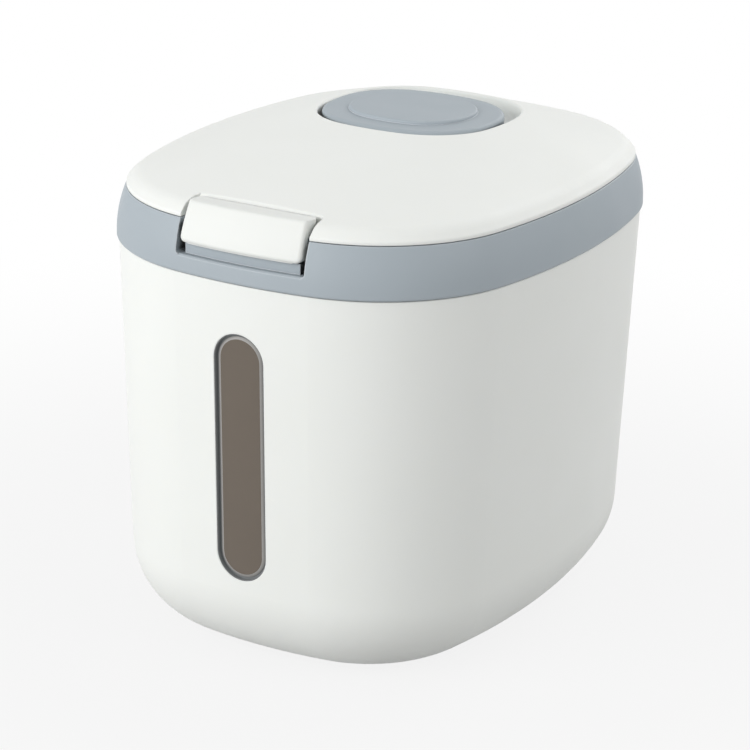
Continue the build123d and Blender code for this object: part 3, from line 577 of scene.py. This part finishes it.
paper = bpy.data.materials.new("matt_studio_paper")
paper.use_nodes = True
tree = paper.node_tree
tree.nodes.clear()
matt = add_node(tree, "ShaderNodeBsdfDiffuse", {"Color": linear(PAPER_GREY)})
glow = add_node(tree, "ShaderNodeEmission", {"Color": linear(WHITE), "Strength": 1.0})
place = add_node(tree, "ShaderNodeTexCoord").outputs["Object"]
distance = add_node(tree, "ShaderNodeVectorMath", {"Vector": place}, operation="LENGTH")
fade = add_node(tree, "ShaderNodeMapRange", {
    "Value": distance.outputs["Value"], "From Min": PAPER_FADE[0], "From Max": PAPER_FADE[1],
    "To Min": PAPER_GLOW[0], "To Max": PAPER_GLOW[1]}, interpolation_type="SMOOTHSTEP")
share = add_node(tree, "ShaderNodeMath", {
    0: fade.outputs["Result"], 1: see_straight(tree)}, operation="MULTIPLY")
mix = add_node(tree, "ShaderNodeMixShader", {
    "Fac": share.outputs[0], 1: matt.outputs[0], 2: glow.outputs[0]})
add_node(tree, "ShaderNodeOutputMaterial", {"Surface": mix.outputs[0]})
floor_mesh.materials.append(paper)

world = bpy.data.worlds.new("studio_surround")
scene.world = world
world.use_nodes = True
tree = world.node_tree
tree.nodes.clear()
fill = add_node(tree, "ShaderNodeBackground", {"Color": linear(WHITE), "Strength": SURROUND_FILL})
white = add_node(tree, "ShaderNodeBackground", {"Color": linear(WHITE), "Strength": 1.0})
mix = add_node(tree, "ShaderNodeMixShader", {
    "Fac": see_straight(tree), 1: fill.outputs[0], 2: white.outputs[0]})
add_node(tree, "ShaderNodeOutputWorld", {"Surface": mix.outputs[0]})


def soft_box(name, place, size, watts):
    """A square studio lamp at a place, facing the bucket."""
    lamp = bpy.data.lights.new(name, "AREA")
    lamp.shape = "RECTANGLE"
    lamp.size, lamp.size_y, lamp.energy = size, size, watts
    holder = bpy.data.objects.new(name, lamp)
    holder.location = place
    aim = Vector(BUCKET_MIDDLE) - Vector(place)
    holder.rotation_euler = aim.to_track_quat("-Z", "Y").to_euler()
    scene.collection.objects.link(holder)


soft_box("key_light", (-0.9, -1.7, 0.7), 1.5, 27)
soft_box("right_light", (1.4, 0.0, 0.9), 0.8, 5)
soft_box("back_light", (0.3, 1.8, 1.2), 1.2, 12)


# Camera: the photograph's viewpoint, found by fitting the bucket's outlines. The
# shift puts the bucket where the photograph has it in the frame.

CAMERA_AZIMUTH = 29.571
CAMERA_ELEVATION = 20.082
CAMERA_ROLL = 1.25
CAMERA_DISTANCE = 1.3099
CAMERA_AIM = (0, 0, 0.0867)
IMAGE_PIXELS = 750
FOCAL_PIXELS = 2932.8
SHIFT_PIXELS = (6.78, 27.57)
SENSOR_MM = 36.0

azimuth, elevation = math.radians(CAMERA_AZIMUTH), math.radians(CAMERA_ELEVATION)
back = Vector((math.sin(azimuth) * math.cos(elevation), -math.cos(azimuth) * math.cos(elevation),
               math.sin(elevation)))
view = bpy.data.cameras.new("photo_view")
view.sensor_width = SENSOR_MM
view.lens = FOCAL_PIXELS / IMAGE_PIXELS * SENSOR_MM
view.shift_x = -SHIFT_PIXELS[0] / IMAGE_PIXELS
view.shift_y = SHIFT_PIXELS[1] / IMAGE_PIXELS
view.clip_start, view.clip_end = 0.05, 20
camera = bpy.data.objects.new("photo_view", view)
camera.location = Vector(CAMERA_AIM) + back * CAMERA_DISTANCE
camera.rotation_mode = "QUATERNION"
upright = (-back).to_track_quat("-Z", "Y")
roll = Matrix.Rotation(math.radians(CAMERA_ROLL), 3, "Z").to_quaternion()
camera.rotation_quaternion = upright @ roll
scene.collection.objects.link(camera)
scene.camera = camera
scene.view_settings.view_transform = "Standard"
